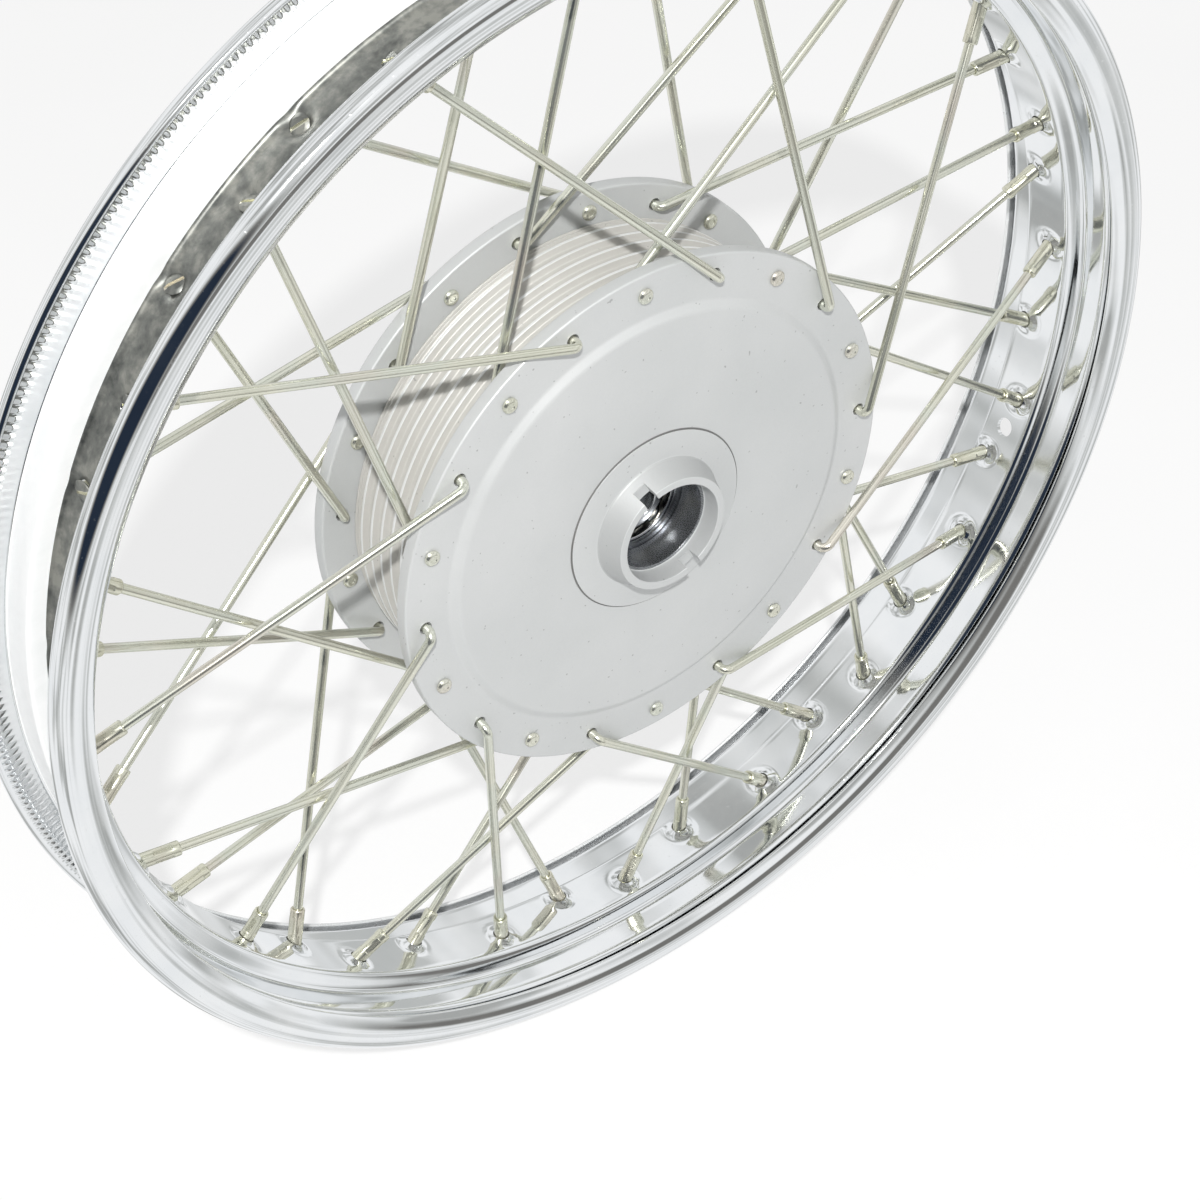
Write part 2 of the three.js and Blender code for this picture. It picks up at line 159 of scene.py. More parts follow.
def rounded(corners, closed=False, step=14):
    """A polyline through corners (radius, axial, fillet) with each fillet as an arc."""
    count = len(corners)
    places_of = [Vector(corner[:2]) for corner in corners]
    wanted = []
    for i, (_, _, fillet) in enumerate(corners):
        before = places_of[i - 1] - places_of[i]
        after = places_of[(i + 1) % count] - places_of[i]
        half = before.angle(after) / 2
        plain = fillet == 0 or (not closed and i in (0, count - 1)) or half > math.radians(89)
        wanted.append(0 if plain else fillet / math.tan(half))
    points = []
    for i, here in enumerate(places_of):
        if wanted[i] == 0:
            points.append(here)
            continue
        before = places_of[i - 1] - here
        after = places_of[(i + 1) % count] - here
        half = before.angle(after) / 2
        room = 0.97 * wanted[i]
        reach = min(wanted[i], room * before.length / (wanted[i] + wanted[i - 1]),
                    room * after.length / (wanted[i] + wanted[(i + 1) % count]))
        bend = reach * math.tan(half)
        middle = (before.normalized() + after.normalized()).normalized()
        centre = here + middle * (bend / math.sin(half))
        start = here + before.normalized() * reach - centre
        end = here + after.normalized() * reach - centre
        first = math.atan2(start.y, start.x)
        turn = (math.atan2(end.y, end.x) - first + math.pi) % (2 * math.pi) - math.pi
        steps = max(1, math.ceil(abs(turn) / math.radians(step)))
        for k in range(steps + 1):
            angle = first + turn * k / steps
            points.append(centre + Vector((math.cos(angle), math.sin(angle))) * bend)
    return points


def divided(points, longest, low, high):
    """Splits the stretches of a closed outline between two radii so that none is too long."""
    result = []
    for i, here in enumerate(points):
        after = points[(i + 1) % len(points)]
        result.append(here)
        if low <= here.x <= high and low <= after.x <= high:
            parts = math.ceil((after - here).length / longest)
            for k in range(1, parts):
                result.append(here.lerp(after, k / parts))
    return result


def finished_mesh(name, mesh, finishes, sharp=32):
    """An object with its materials, outward faces and smooth shading up to an angle."""
    work = bmesh.new()
    work.from_mesh(mesh)
    bmesh.ops.recalc_face_normals(work, faces=work.faces)
    work.to_mesh(mesh)
    work.free()
    mesh.shade_smooth()
    mesh.set_sharp_from_angle(angle=math.radians(sharp))
    for finish in finishes:
        mesh.materials.append(finish)
    made = bpy.data.objects.new(name, mesh)
    bpy.context.scene.collection.objects.link(made)
    return made


def band_faces(corners, sections, closed):
    """Faces that join sections of so many corners, one section after another."""
    faces = []
    for s in range(sections if closed else sections - 1):
        here, there = s * corners, (s + 1) % sections * corners
        for k in range(corners):
            after = (k + 1) % corners
            faces.append((here + k, here + after, there + after, there + k))
    return faces


def turned(name, outline, segments, finishes, choose=None, nudge=None, centre=None):
    """A ring turned about the spin axis from a closed outline of (radius, axial) points."""
    middle = MID if centre is None else centre
    spots = []
    for s in range(segments):
        angle = 2 * math.pi * s / segments
        cosine, sine = math.cos(angle), math.sin(angle)
        for point in outline:
            radius, axial = nudge(point, s, angle) if nudge else point
            spots.append((radius * cosine * MM, (middle + axial) * MM, radius * sine * MM))
    count = len(outline)
    mesh = bpy.data.meshes.new(name)
    mesh.from_pydata(spots, [], band_faces(count, segments, True))
    if choose:
        picks = [finishes.index(choose(outline[k], outline[(k + 1) % count]))
                 for k in range(count)]
        mesh.polygons.foreach_set("material_index", picks * segments)
    return finished_mesh(name, mesh, finishes)


def swept(name, stations, sides, finishes, sharp=32, section=None):
    """A closed rod through stations of (centre, across, beside, radius), a point at each end."""
    spots = [stations[0][0] * MM]
    for index, (centre, across, beside, radius) in enumerate(stations[1:-1], 1):
        for k in range(sides):
            angle = 2 * math.pi * k / sides
            size = radius * (section(index, angle) if section else 1)
            outwards = across * math.cos(angle) + beside * math.sin(angle)
            spots.append((centre + outwards * size) * MM)
    spots.append(stations[-1][0] * MM)
    rings = len(stations) - 2
    last = len(spots) - 1
    faces = []
    for k in range(sides):
        after = (k + 1) % sides
        faces.append((0, 1 + after, 1 + k))
        for ring in range(rings - 1):
            low, high = 1 + ring * sides, 1 + (ring + 1) * sides
            faces.append((low + k, low + after, high + after, high + k))
        low = 1 + (rings - 1) * sides
        faces.append((low + k, low + after, last))
    mesh = bpy.data.meshes.new(name)
    mesh.from_pydata(spots, [], faces)
    drawn = mesh.attributes.new("drawn", "FLOAT_VECTOR", "POINT")
    length = 0
    for k in range(len(spots)):
        index = min((k - 1) // sides + 1, rings) if 0 < k < last else (0 if k == 0 else rings)
        if 0 < k < last and (k - 1) % sides == 0 and index > 1:
            length += (stations[index][0] - stations[index - 1][0]).length
        around = 2 * math.pi * ((k - 1) % sides) / sides
        drawn.data[k].vector = (math.cos(around), math.sin(around), length * DRAWN_SCALE)
    return finished_mesh(name, mesh, finishes, sharp)


def joined(name, objects):
    """One mesh object made of several that don't touch one another."""
    work = bmesh.new()
    for item in objects:
        held = item.data.copy()
        held.transform(item.matrix_world)
        work.from_mesh(held)
        bpy.data.meshes.remove(held)
        bpy.data.objects.remove(item)
    mesh = bpy.data.meshes.new(name)
    work.to_mesh(mesh)
    work.free()
    made = bpy.data.objects.new(name, mesh)
    bpy.context.scene.collection.objects.link(made)
    return made


def subtract(body, cutter, sharp=32):
    """Cuts the cutter from the body and keeps the result in the body's mesh."""
    change = body.modifiers.new("cut", "BOOLEAN")
    change.operation = "DIFFERENCE"
    change.solver = "EXACT"
    change.object = cutter
    graph = bpy.context.evaluated_depsgraph_get()
    graph.update()
    result = bpy.data.meshes.new_from_object(body.evaluated_get(graph))
    body.modifiers.clear()
    body.data = result
    bpy.data.objects.remove(cutter)
    result.shade_smooth()
    result.set_sharp_from_angle(angle=math.radians(sharp))


def cone(start, direction, length, radius, end_radius, sides=24):
    """A cutter: a cone or rod from a place in metres along a direction, sizes in mm."""
    work = bmesh.new()
    bmesh.ops.create_cone(work, cap_ends=True, segments=sides, radius1=radius * MM,
                          radius2=end_radius * MM, depth=length * MM)
    turn = Vector((0, 0, 1)).rotation_difference(direction).to_matrix().to_4x4()
    place = Matrix.Translation(start + direction.normalized() * (length * MM / 2)) @ turn
    bmesh.ops.transform(work, matrix=place, verts=work.verts)
    mesh = bpy.data.meshes.new("cutter")
    work.to_mesh(mesh)
    work.free()
    made = bpy.data.objects.new("cutter", mesh)
    bpy.context.scene.collection.objects.link(made)
    return made


def block(place, length, width, height):
    """A cutter: a block of these sizes, centred and turned by a matrix."""
    work = bmesh.new()
    bmesh.ops.create_cube(work, size=1)
    sizes = Matrix.Diagonal((length * MM, width * MM, height * MM, 1))
    bmesh.ops.transform(work, matrix=place @ sizes, verts=work.verts)
    mesh = bpy.data.meshes.new("block")
    work.to_mesh(mesh)
    work.free()
    made = bpy.data.objects.new("block", mesh)
    bpy.context.scene.collection.objects.link(made)
    return made


def finish_piece(piece, body, slot, *nodes):
    """Puts a piece on its CAD body, in place of the CAD nodes it stands for."""
    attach(piece, body)
    if nodes:
        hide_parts(*nodes)
    return piece


# ---------------------------------------------------------------- material helpers


def material(name):
    """A new node material with its tree and its surface node."""
    made = bpy.data.materials.new(name)
    made.use_nodes = True
    tree = made.node_tree
    return made, tree, tree.nodes["Principled BSDF"]


def add(tree, kind, inputs=None, **settings):
    """A node with its settings made and its inputs set or linked."""
    made = tree.nodes.new(kind)
    for key, value in settings.items():
        setattr(made, key, value)
    for key, value in (inputs or {}).items():
        if isinstance(value, bpy.types.NodeSocket):
            tree.links.new(value, made.inputs[key])
        else:
            made.inputs[key].default_value = value
    return made


def math_node(tree, operation, first, second=0.0):
    return add(tree, "ShaderNodeMath", {0: first, 1: second}, operation=operation).outputs[0]


def places(tree):
    """Coordinates fixed to the piece, moved apart for each copy of a shared mesh."""
    spot = add(tree, "ShaderNodeTexCoord").outputs["Object"]
    luck = add(tree, "ShaderNodeObjectInfo").outputs["Random"]
    shift = add(tree, "ShaderNodeCombineXYZ", {"X": luck, "Y": luck, "Z": luck}).outputs[0]
    return add(tree, "ShaderNodeVectorMath", {0: spot, 1: shift}, operation="ADD").outputs[0]


def noise(tree, spot, scale, detail=4.0, roughness=0.55, distortion=0.0):
    return add(tree, "ShaderNodeTexNoise", {
        "Vector": spot, "Scale": scale, "Detail": detail, "Roughness": roughness,
        "Distortion": distortion}).outputs["Fac"]


def spread(tree, value, low, high, new_low, new_high):
    return add(tree, "ShaderNodeMapRange", {
        "Value": value, "From Min": low, "From Max": high,
        "To Min": new_low, "To Max": new_high}).outputs["Result"]


def ramp(tree, value, *stops):
    made = add(tree, "ShaderNodeValToRGB", {"Fac": value})
    elements = made.color_ramp.elements
    while len(elements) < len(stops):
        elements.new(0.5)
    for element, (place, color) in zip(elements, stops):
        element.position = place
        element.color = (*color, 1)
    return made.outputs["Color"]


def bump(tree, height, strength, distance, before=None):
    inputs = {"Height": height, "Strength": strength, "Distance": distance * MM}
    if before is not None:
        inputs["Normal"] = before
    return add(tree, "ShaderNodeBump", inputs).outputs["Normal"]


def lathe_lines(tree, spot, scale):
    """A value that changes along the axis and the radius and hardly at all round the axis."""
    parts = add(tree, "ShaderNodeSeparateXYZ", {"Vector": spot}).outputs
    flat = add(tree, "ShaderNodeCombineXYZ", {"X": parts["X"], "Y": parts["Z"]}).outputs[0]
    radius = add(tree, "ShaderNodeVectorMath", {0: flat}, operation="LENGTH").outputs["Value"]
    line = add(tree, "ShaderNodeCombineXYZ", {"X": radius, "Y": parts["Y"]}).outputs[0]
    return noise(tree, line, scale, 3, 0.6)


def connect(tree, surface, **sockets):
    for key, value in sockets.items():
        name = key.replace("_", " ")
        if isinstance(value, bpy.types.NodeSocket):
            tree.links.new(value, surface.inputs[name])
        else:
            surface.inputs[name].default_value = value


# ---------------------------------------------------------------- materials


def chrome(name, clear, hazy, metallic=1.0):
    """Bright plate with faint waves in the reflections, haze and a few dull specks."""
    made, tree, surface = material(name)
    spot = places(tree)
    haze = noise(tree, spot, 32, 5)
    specks = noise(tree, spot, 700, 2)
    rough = math_node(tree, "ADD", spread(tree, haze, 0.35, 0.7, clear, hazy),
                      spread(tree, specks, 0.66, 0.74, 0, 0.12))
    wave = bump(tree, noise(tree, spot, 55, 1), 0.25, 0.14)
    grain = bump(tree, noise(tree, spot, 2200, 2), 0.08, 0.02, wave)
    color = ramp(tree, haze, (0.3, (0.80, 0.82, 0.835)), (0.7, (0.89, 0.90, 0.905)))
    connect(tree, surface, Base_Color=color, Metallic=metallic, Roughness=rough, Normal=grain)
    return made


def dull_shaded_plate():
    """The bottom of the tyre channel: thin, stained and mottled plate, painted dark as the shade
    and dark reflections deep in the channel.
    """
    made, tree, surface = material("dull_shaded_plate")
    spot = places(tree)
    patches = noise(tree, spot, 75, 6, 0.65, 0.4)
    blots = noise(tree, spot, 260, 4)
    mixed = math_node(tree, "ADD", math_node(tree, "MULTIPLY", patches, 0.65),
                      math_node(tree, "MULTIPLY", blots, 0.35))
    # Painted shade: these dark colours stand for the shade and dark reflections deep in the
    # channel, with the mottling over them.
    color = ramp(tree, mixed, (0.36, (0.10, 0.105, 0.10)), (0.5, (0.21, 0.215, 0.20)),
                 (0.60, (0.33, 0.33, 0.30)))
    rough = spread(tree, mixed, 0.35, 0.65, 0.32, 0.55)
    pits = bump(tree, noise(tree, spot, 1300, 3), 0.2, 0.06)
    connect(tree, surface, Base_Color=color, Metallic=0.85, Roughness=rough, Normal=pits)
    return made


def seat_plate():
    """Bead seats and the walls of the channel: satin plate with lines round the rim."""
    made, tree, surface = material("seat_plate")
    spot = places(tree)
    lines = lathe_lines(tree, spot, 520)
    broad = lathe_lines(tree, spot, 140)
    color = ramp(tree, broad, (0.35, (0.93, 0.94, 0.94)), (0.62, (0.975, 0.98, 0.98)))
    rough = spread(tree, lines, 0.3, 0.7, 0.34, 0.44)
    grooves = bump(tree, lines, 0.10, 0.03)
    connect(tree, surface, Base_Color=color, Metallic=0.35, Roughness=rough, Normal=grooves)
    return made


def cast_alloy(name, dark, bright):
    """Fine blasted light alloy, pale grey, with soft clouds and a few dark grains."""
    made, tree, surface = material(name)
    spot = places(tree)
    clouds = noise(tree, spot, 14, 5)
    grains = noise(tree, spot, 1500, 3)
    color = ramp(tree, clouds, (0.3, dark), (0.7, bright))
    speck = spread(tree, noise(tree, spot, 520, 1), 0.755, 0.78, 0, 0.5)
    mixed = add(tree, "ShaderNodeMix", {
        "Factor": speck, 6: color, 7: (0.2, 0.2, 0.2, 1)}, data_type="RGBA").outputs[2]
    rough = spread(tree, grains, 0.3, 0.7, 0.46, 0.62)
    blasted = bump(tree, grains, 0.22, 0.09)
    soft = bump(tree, noise(tree, spot, 60, 2), 0.06, 0.5, blasted)
    connect(tree, surface, Base_Color=mixed, Metallic=0.35, Roughness=rough, Normal=soft)
    return made


def shaded_machined_alloy():
    """The turned bores: smooth, with fine tool lines round the axis, painted darker as the shade
    down inside them.
    """
    made, tree, surface = material("shaded_machined_alloy")
    spot = places(tree)
    lines = lathe_lines(tree, spot, 2600)
    # Painted shade: these dark greys stand for the shade inside the bores.
    color = ramp(tree, lines, (0.35, (0.24, 0.25, 0.26)), (0.65, (0.36, 0.37, 0.385)))
    rough = spread(tree, lines, 0.3, 0.7, 0.2, 0.36)
    tooled = bump(tree, lines, 0.3, 0.03)
    connect(tree, surface, Base_Color=color, Metallic=0.9, Roughness=rough, Normal=tooled)
    return made


def cast_iron():
    """The brake ring's friction face: grey iron with turning lines and faint rust."""
    made, tree, surface = material("cast_iron")
    spot = places(tree)
    lines = lathe_lines(tree, spot, 1500)
    stain = noise(tree, spot, 38, 5)
    color = ramp(tree, stain, (0.35, (0.30, 0.295, 0.29)), (0.62, (0.42, 0.41, 0.40)),
                 (0.78, (0.40, 0.31, 0.24)))
    rough = spread(tree, lines, 0.3, 0.7, 0.34, 0.52)
    tooled = bump(tree, lines, 0.4, 0.06)
    connect(tree, surface, Base_Color=color, Metallic=0.8, Roughness=rough, Normal=tooled)
    return made


def zinc(name, yellow):
    """Zinc plate with a thin passivation: drifts between straw, green and faint pink."""
    made, tree, surface = material(name)
    spot = places(tree)
    drawn_place = add(tree, "ShaderNodeAttribute", attribute_name="drawn").outputs["Vector"]
    luck = add(tree, "ShaderNodeObjectInfo").outputs["Random"]
    aside = add(tree, "ShaderNodeCombineXYZ", {
        "Z": math_node(tree, "MULTIPLY", luck, 40)}).outputs[0]
    marks_at = add(tree, "ShaderNodeVectorMath", {0: drawn_place, 1: aside}).outputs[0]
    drift = noise(tree, spot, 20, 2, 0.5)
    streak = noise(tree, marks_at, 3.2, 3)
    tint = ramp(tree, drift, (0.32, (0.70, 0.72, 0.62)), (0.45, (0.79, 0.79, 0.70)),
                (0.56, (0.75, 0.78, 0.71)), (0.68, (0.76, 0.72, 0.66)))
    straw = add(tree, "ShaderNodeMix", {
        "Factor": yellow, 6: tint, 7: (0.72, 0.68, 0.47, 1)}, data_type="RGBA").outputs[2]
    dark = spread(tree, streak, 0.56, 0.78, 0, 0.25)
    color = add(tree, "ShaderNodeMix", {
        "Factor": dark, 6: straw, 7: (0.30, 0.28, 0.22, 1)}, data_type="RGBA").outputs[2]
    rough = spread(tree, streak, 0.3, 0.7, 0.18, 0.28)
    drawn = bump(tree, noise(tree, marks_at, 14, 2), 0.03, 0.02)
    connect(tree, surface, Base_Color=color, Metallic=0.9, Roughness=rough, Normal=drawn)
    return made


def ground_steel(name, dark, bright, low, high):
    """Ground or pressed steel with fine lines round the axis."""
    made, tree, surface = material(name)
    spot = places(tree)
    lines = lathe_lines(tree, spot, 3000)
    stain = noise(tree, spot, 160, 4)
    color = ramp(tree, stain, (0.35, dark), (0.65, bright))
    rough = spread(tree, lines, 0.3, 0.7, low, high)
    tooled = bump(tree, lines, 0.2, 0.02)
    connect(tree, surface, Base_Color=color, Metallic=1.0, Roughness=rough, Normal=tooled)
    return made


CHROME = chrome("chrome_plate", 0.035, 0.12)
SKIRT_CHROME = chrome("skirt_plate", 0.24, 0.34, 0.4)
DULL_AND_SHADED = dull_shaded_plate()
SATIN = seat_plate()
ALLOY = cast_alloy("cast_alloy", (0.565, 0.58, 0.58), (0.625, 0.635, 0.635))
BARREL_ALLOY = cast_alloy("barrel_alloy", (0.55, 0.54, 0.51), (0.62, 0.61, 0.58))
# A lighter copy of the alloy for the rib crests: a painted highlight along them.
CREST_HIGHLIGHT_ALLOY = cast_alloy("crest_highlight_alloy", (0.74, 0.75, 0.74), (0.82, 0.825, 0.82))
# A darker copy of the alloy for the boss's side: painted shade.
BOSS_SHADE_ALLOY = cast_alloy("boss_shade_alloy", (0.45, 0.46, 0.46), (0.50, 0.51, 0.51))
# A dark copy of the alloy for the collar's groove: painted shade in the groove.
GROOVE_SHADE_ALLOY = cast_alloy("groove_shade_alloy", (0.22, 0.22, 0.22), (0.30, 0.30, 0.29))
SHADED_MACHINED = shaded_machined_alloy()
IRON = cast_iron()
SPOKE_ZINC = zinc("spoke_zinc", 0.15)
NIPPLE_ZINC = zinc("nipple_zinc", 0.35)
RACE_STEEL = ground_steel("race_steel", (0.55, 0.56, 0.57), (0.70, 0.71, 0.72), 0.12, 0.22)
CAGE_STEEL = ground_steel("cage_steel", (0.44, 0.42, 0.36), (0.58, 0.55, 0.48), 0.25, 0.4)
SPRING_STEEL = ground_steel("spring_steel", (0.22, 0.23, 0.25), (0.36, 0.37, 0.39), 0.22, 0.38)

# ---------------------------------------------------------------- lacing


def spoke_plan():
    """Each spoke's names, hub corner, rim seat and directions, as in the CAD part."""
    counts = {}
    plan = []
    for place in range(SPOKES):
        side = -1 if place % 2 == 0 else 1
        outer = place % 4 == (0 if side < 0 else 1)
        family = f"{'near' if side < 0 else 'far'}_{'outer' if outer else 'inner'}_spoke"
        counts[family] = counts.get(family, 0) + 1
        hole = FIRST_ANGLE + place * 360 / SPOKES
        turn = RIM_TURN + (SWEEP if outer else -SWEEP)
        beyond = FLANGE_FACE + OUTER_CORNER
        if not outer:
            beyond = FLANGE_FACE - FLANGE_THICKNESS - INNER_CORNER
        corner = polar(HOLE_CIRCLE, hole, side * beyond)
        seat = polar(WELL_RADIUS - SHEET, hole + turn, RIM_HOLE_LINE + side * RIM_STAGGER)
        shank = Vector((0, side if outer else -side, 0))
        plan.append({
            "node": f"{family}_{counts[family]}", "family": family, "place": place,
            "side": side, "outer": outer, "hole": hole, "corner": corner, "seat": seat,
            "along": (seat - corner).normalized(), "shank": shank,
            "rim_angle": hole + turn, "rim_axial": RIM_HOLE_LINE + side * RIM_STAGGER,
        })
    return plan


PLAN = spoke_plan()


def spoke_mesh(entry):
    """A family's first spoke: a stamped head, the bend in the flange and the straight run."""
    side, shank, along = entry["side"], entry["shank"], entry["along"]
    corner, seat = entry["corner"] / MM, entry["seat"] / MM
    inside = FLANGE_FACE - FLANGE_THICKNESS if entry["outer"] else FLANGE_FACE
    head_base = MID + side * inside - shank.y * GAP
    head_end = head_base - shank.y * HEAD_THICKNESS
    turn = shank.angle(along)
    trim = BEND_RADIUS * math.tan(turn / 2)
    bend_start = abs(corner.y - head_end) - trim
    bend_length = BEND_RADIUS * turn
    run = (seat - corner).length - trim
    end = bend_start + bend_length + run - NIPPLE_LENGTH + 7
    head = rounded([
        (1.0, 0.3, 0.2), (1.3, 0.0, 0.2), (2.3, 0.0, 0.8), (HEAD_RADIUS, 0.8, 0.5),
        (HEAD_RADIUS, HEAD_THICKNESS, 0.15), (SPOKE_RADIUS, HEAD_THICKNESS, 0.3),
        (SPOKE_RADIUS, HEAD_THICKNESS + 1, 0)], step=25)
    lengths = [(point.x, point.y) for point in head]
    lengths += [(SPOKE_RADIUS, bend_start + bend_length * k / 10) for k in range(11)]
    straight = (end - bend_start - bend_length) / 6
    lengths += [(SPOKE_RADIUS, bend_start + bend_length + straight * k) for k in range(1, 7)]
    across = shank.cross(along).normalized()
    entry_side = shank.cross(across)
    start = corner - shank * trim
    stations = []
    for radius, length in [(0, 0.3), *lengths, (0, end)]:
        bent = min(max((length - bend_start) / bend_length, 0), 1)
        forward = Matrix.Rotation(bent * turn, 3, across) @ shank
        outwards = forward.cross(across)
        centre = (start - entry_side * BEND_RADIUS + outwards * BEND_RADIUS
                  + forward * (length - bend_start - bent * bend_length))
        stations.append((centre, outwards, across, radius))
    return swept("spoke", stations, 16, [SPOKE_ZINC], 40)


def nipple_mesh():
    """A nipple along +Z from its mouth: narrowed mouth, four key flats, slotted round head."""
    neck = NIPPLE_LENGTH - 0.5
    top = neck + 2.3
    outline = rounded([
        (1.98, 1.6, 0), (1.98, 0.15, 0.1), (2.15, 0, 0.1), (2.75, 0, 0.25),
        (NIPPLE_RADIUS, 0.5, 0.25), (NIPPLE_RADIUS, 3.0, 0), (NIPPLE_RADIUS, 3.4, 0),
        (NIPPLE_RADIUS, 10.6, 0), (NIPPLE_RADIUS, 11.0, 0), (NIPPLE_RADIUS, neck, 0.6),
        (NIPPLE_HEAD, neck + 1.1, 0.3), (NIPPLE_HEAD, neck + 1.5, 0.3), (2.9, top, 0.7),
        (0.6, top, 0)], step=22)
    sideways, beside = Vector((1, 0, 0)), Vector((0, 1, 0))
    stations = [(Vector((0, 0, 1.6)), sideways, beside, 0)]
    stations += [(Vector((0, 0, point.y)), sideways, beside, point.x) for point in outline]
    stations.append((Vector((0, 0, top)), sideways, beside, 0))

    def section(index, angle):
        along = stations[index][0].z
        if 3.3 < along < 10.7:
            flat = 0.88 / max(abs(math.cos(angle)), abs(math.sin(angle)))
            return min(1, flat)
        return 1

    made = swept("nipple", stations, 32, [NIPPLE_ZINC, DULL_AND_SHADED], 28, section)
    # The heads sit down in the rim's channel and take its dark plate, painted shade there.
    for face in made.data.polygons:
        face.material_index = 1 if face.center.z > neck * MM else 0
    subtract(made, block(Matrix.Translation((0, 0, top * MM)), 12, 1.3, 1.8), 28)
    return made


def lace():
    """Forty spokes, ten from each family's mesh turned round the axis, and forty nipples."""
    nipple = nipple_mesh()
    firsts = {}
    for entry in PLAN:
        if entry["family"] not in firsts:
            firsts[entry["family"]] = (spoke_mesh(entry), entry["hole"])
        pattern, hole = firsts[entry["family"]]
        rod = bpy.data.objects.new(entry["node"] + "_rod", pattern.data)
        rod.matrix_world = Matrix.Rotation(-math.radians(entry["hole"] - hole), 4, "Y")
        bpy.context.scene.collection.objects.link(rod)
        finish_piece(rod, "wheel", "zinc_spoke", entry["node"])
        screwed = bpy.data.objects.new(entry["node"] + "_nipple", nipple.data)
        aim = Vector((0, 0, 1)).rotation_difference(entry["along"])
        spin = Quaternion((0, 0, 1), math.radians(entry["place"] * 37))
        mouth = entry["seat"] - entry["along"] * (NIPPLE_LENGTH * MM)
        screwed.matrix_world = Matrix.Translation(mouth) @ (aim @ spin).to_matrix().to_4x4()
        bpy.context.scene.collection.objects.link(screwed)
        finish_piece(screwed, "wheel", "zinc_spoke")
    bpy.data.objects.remove(nipple)
    for pattern, _ in firsts.values():
        bpy.data.objects.remove(pattern)


# ---------------------------------------------------------------- rim


def rim_outline():
    """The pressed sheet: rolled edges with their skirts, walls, bead seats and drop centre."""
    edge = EDGE_RADIUS
    side = WALL + 2 * CURL

    def tyre_side(s):
        return [
            (WELL_RADIUS, WELL_CENTRE + s * WELL_BOTTOM, 2.2),
            (SEAT_RADIUS, WELL_CENTRE + s * WELL_TOP, 2.0),
            (SEAT_RADIUS, s * WALL, 1.2),
            *[(TOOTH_FOOT + (TOOTH_TOP - TOOTH_FOOT) * k / 6, s * WALL, 0) for k in range(7)],
            (edge, s * WALL, LIP_INNER),
            (edge, s * side, LIP_OUTER),
            (edge - 10.5, s * (side - 0.2), 10),
            (SKIRT_EDGE, s * (side - 3.4), 0.7),
        ]

    def hub_side(s):
        return [
            (SKIRT_EDGE, s * (side - 5.1), 0.7),
            (edge - 10.5, s * (side - 2.0), 9),
            (edge - SHEET, s * (side - SHEET), LIP_OUTER - SHEET),
            (edge - SHEET, s * (WALL + SHEET), 0.6),
            (SEAT_RADIUS - SHEET, s * (WALL + SHEET), 3.2),
            (SEAT_RADIUS - SHEET, WELL_CENTRE + s * (WELL_TOP + 1.5), 2.6),
            (WELL_RADIUS - SHEET, WELL_CENTRE + s * (WELL_BOTTOM + 1.5), 2.2),
        ]

    near_top = list(reversed(tyre_side(-1)))
    far_under = hub_side(1)
    near_under = list(reversed(hub_side(-1)))
    outline = rounded(near_top + tyre_side(1) + far_under + near_under, True)
    return divided(outline, 1.7, WELL_RADIUS - SHEET - 0.5, SEAT_RADIUS)


def rim_finish(first, second):
    """The finish of a stretch of the rim's outline."""
    radius = (first.x + second.x) / 2
    axial = (first.y + second.y) / 2
    if axial > WALL + 0.5 and radius < EDGE_RADIUS - CURL:
        return SKIRT_CHROME
    if abs(axial) < WALL - 0.3 and SEAT_RADIUS - 0.4 < radius < EDGE_RADIUS - CURL:
        return SATIN
    from_centre = abs(axial - WELL_CENTRE)
    if WELL_RADIUS + 1.6 < radius <= SEAT_RADIUS - 0.4:
        slope = (WELL_TOP - WELL_BOTTOM) / (SEAT_RADIUS - WELL_RADIUS)
        beyond = from_centre - WELL_BOTTOM - (radius - WELL_RADIUS) * slope
        if -0.9 < beyond < 0.6 and abs(axial) < WELL_CENTRE + WELL_TOP + 2:
            return SATIN
    # The channel's bottom takes the dark plate, painted shade and dark reflection deep in the
    # channel.
    channel = WELL_RADIUS - 0.6 < radius <= WELL_RADIUS + 1.6
    return DULL_AND_SHADED if channel and from_centre < WELL_BOTTOM + 0.4 else CHROME


def knurl(point, segment):
    """Radial teeth pressed into the side walls, highest just under the rolled edge."""
    rise = (point.x - TOOTH_FOOT) / (TOOTH_TOP - TOOTH_FOOT)
    if abs(abs(point.y) - WALL) > 0.3 or not 0 < rise < 1:
        return point.x, point.y
    shape = min(1, 1.5 * rise) * min(1, 8 * (1 - rise))
    inwards = TOOTH_HEIGHT * TOOTH_SHAPE[segment % len(TOOTH_SHAPE)] * shape
    return point.x, point.y - math.copysign(inwards, point.y)


def punched(point, angle):
    """How far the drop centre is pressed towards the hub round the nearest nipple hole."""
    if point.x > WELL_RADIUS + 1.6 or abs(point.y - WELL_CENTRE) > WELL_BOTTOM + 1:
        return 0
    degrees = math.degrees(angle)
    nearest = 0
    for entry in PLAN:
        away = (degrees - entry["rim_angle"] + 180) % 360 - 180
        across = math.radians(away) * WELL_RADIUS
        distance = math.hypot(across, point.y - entry["rim_axial"]) / SEAT_REACH
        if distance < 1:
            nearest = max(nearest, (math.cos(distance * math.pi) + 1) / 2)
    return SEAT_HEIGHT * min(1, 1.35 * nearest)


